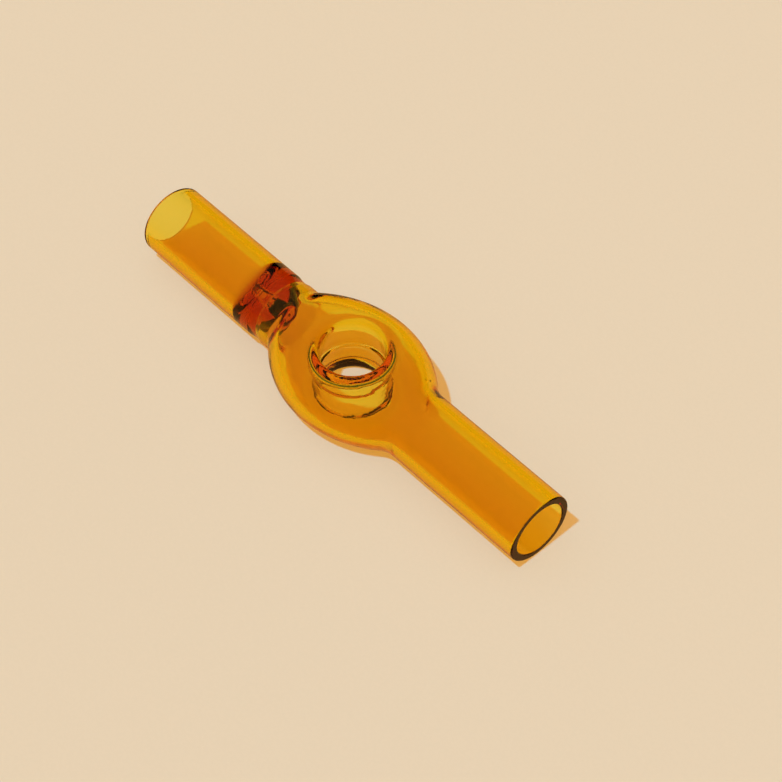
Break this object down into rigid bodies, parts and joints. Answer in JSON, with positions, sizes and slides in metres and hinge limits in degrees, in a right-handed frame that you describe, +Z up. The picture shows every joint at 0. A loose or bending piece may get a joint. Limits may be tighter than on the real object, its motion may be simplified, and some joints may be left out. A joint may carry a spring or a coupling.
{
  "type": "glass hand pipe",
  "caption": "Straight amber glass hand pipe: an open bowl tube with a thick bored bottom, a flat oval ring chamber pierced by a round hole, and a plain mouthpiece tube.",
  "frame": {"origin": "centre of the ring's through hole, on the pipe's axis", "axes": "+X along the pipe from the bowl to the mouthpiece, +Z up through the ring's hole, +Y across the flat chamber"},
  "size_m": [0.1795, 0.0482, 0.025],
  "materials": {
    "amber_glass": "clear, flame-polished",
    "deep_amber_glass": "clear, flame-polished, thick"
  },
  "bodies": {
    "root": {"bowl_tube": "amber_glass", "bowl_plug": "deep_amber_glass", "neck_tube": "amber_glass", "ring_chamber": "amber_glass", "ring_tunnel": "amber_glass", "mouthpiece_tube": "amber_glass"}
  },
  "joints": []
}
